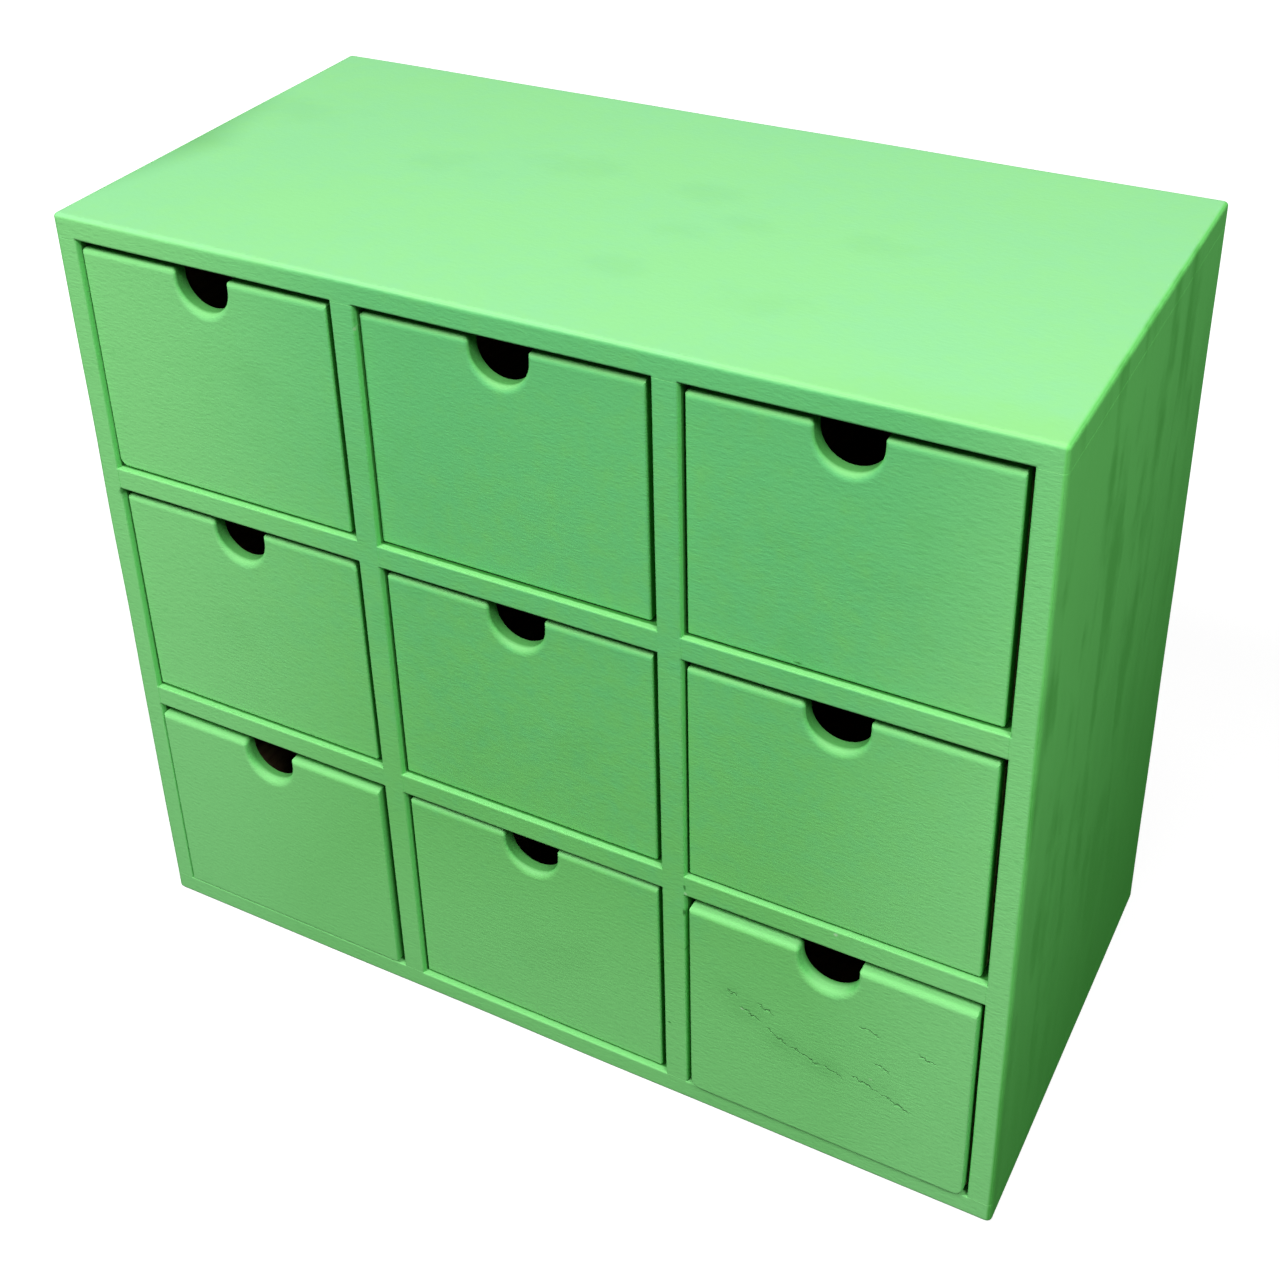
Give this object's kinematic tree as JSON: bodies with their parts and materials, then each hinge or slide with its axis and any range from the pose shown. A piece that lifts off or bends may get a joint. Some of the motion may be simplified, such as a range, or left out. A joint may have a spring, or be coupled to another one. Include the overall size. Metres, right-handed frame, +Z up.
{
  "type": "miniature chest of drawers",
  "caption": "Small tabletop chest: a carcase of painted boards with a grid of equal openings, each with a wooden drawer pulled by a half-round finger notch.",
  "frame": {"origin": "on the surface that the chest stands on, half way across its width and half way between its back and the face of the drawer that stands out most", "axes": "+X to the right as seen from the front, +Y from the front to the back, +Z up; the drawers slide out along -Y"},
  "size_m": [0.36, 0.1796, 0.314],
  "materials": {
    "green_paint": "satin brushed paint on wood",
    "bare_wood": "sanded, unpainted",
    "thin_board": "smooth hardboard, unpainted"
  },
  "bodies": {
    "carcase": {"top_board": "green_paint", "bottom_board": "green_paint", "left_side_board": "green_paint", "right_side_board": "green_paint", "left_divider": "green_paint", "right_divider": "green_paint", "lower_shelf": "green_paint", "upper_shelf": "green_paint", "back_panel": "thin_board"},
    "bottom_left": {"bottom_left_drawer_front": "green_paint", "bottom_left_left_side": "bare_wood", "bottom_left_right_side": "bare_wood", "bottom_left_back": "bare_wood", "bottom_left_bottom": "thin_board"},
    "bottom_middle": {"bottom_middle_drawer_front": "green_paint", "bottom_middle_left_side": "bare_wood", "bottom_middle_right_side": "bare_wood", "bottom_middle_back": "bare_wood", "bottom_middle_bottom": "thin_board"},
    "bottom_right": {"bottom_right_drawer_front": "green_paint", "bottom_right_left_side": "bare_wood", "bottom_right_right_side": "bare_wood", "bottom_right_back": "bare_wood", "bottom_right_bottom": "thin_board"},
    "middle_left": {"middle_left_drawer_front": "green_paint", "middle_left_left_side": "bare_wood", "middle_left_right_side": "bare_wood", "middle_left_back": "bare_wood", "middle_left_bottom": "thin_board"},
    "centre": {"centre_drawer_front": "green_paint", "centre_left_side": "bare_wood", "centre_right_side": "bare_wood", "centre_back": "bare_wood", "centre_bottom": "thin_board"},
    "middle_right": {"middle_right_drawer_front": "green_paint", "middle_right_left_side": "bare_wood", "middle_right_right_side": "bare_wood", "middle_right_back": "bare_wood", "middle_right_bottom": "thin_board"},
    "top_left": {"top_left_drawer_front": "green_paint", "top_left_left_side": "bare_wood", "top_left_right_side": "bare_wood", "top_left_back": "bare_wood", "top_left_bottom": "thin_board"},
    "top_middle": {"top_middle_drawer_front": "green_paint", "top_middle_left_side": "bare_wood", "top_middle_right_side": "bare_wood", "top_middle_back": "bare_wood", "top_middle_bottom": "thin_board"},
    "top_right": {"top_right_drawer_front": "green_paint", "top_right_left_side": "bare_wood", "top_right_right_side": "bare_wood", "top_right_back": "bare_wood", "top_right_bottom": "thin_board"}
  },
  "joints": [
    {"name": "bottom_left_slide", "type": "slide", "parent": "carcase", "child": "bottom_left", "axis": [0, -1, 0], "range_m": [-0.00369, 0.12]},
    {"name": "bottom_middle_slide", "type": "slide", "parent": "carcase", "child": "bottom_middle", "axis": [0, -1, 0], "range_m": [-0.00119, 0.12]},
    {"name": "bottom_right_slide", "type": "slide", "parent": "carcase", "child": "bottom_right", "axis": [0, -1, 0], "range_m": [-0.0046, 0.12]},
    {"name": "middle_left_slide", "type": "slide", "parent": "carcase", "child": "middle_left", "axis": [0, -1, 0], "range_m": [-0.00081, 0.12]},
    {"name": "centre_slide", "type": "slide", "parent": "carcase", "child": "centre", "axis": [0, -1, 0], "range_m": [-0.00081, 0.12]},
    {"name": "middle_right_slide", "type": "slide", "parent": "carcase", "child": "middle_right", "axis": [0, -1, 0], "range_m": [-0.00139, 0.12]},
    {"name": "top_left_slide", "type": "slide", "parent": "carcase", "child": "top_left", "axis": [0, -1, 0], "range_m": [-0.0011, 0.12]},
    {"name": "top_middle_slide", "type": "slide", "parent": "carcase", "child": "top_middle", "axis": [0, -1, 0], "range_m": [-0.00038, 0.12]},
    {"name": "top_right_slide", "type": "slide", "parent": "carcase", "child": "top_right", "axis": [0, -1, 0], "range_m": [-0.00081, 0.12]}
  ]
}
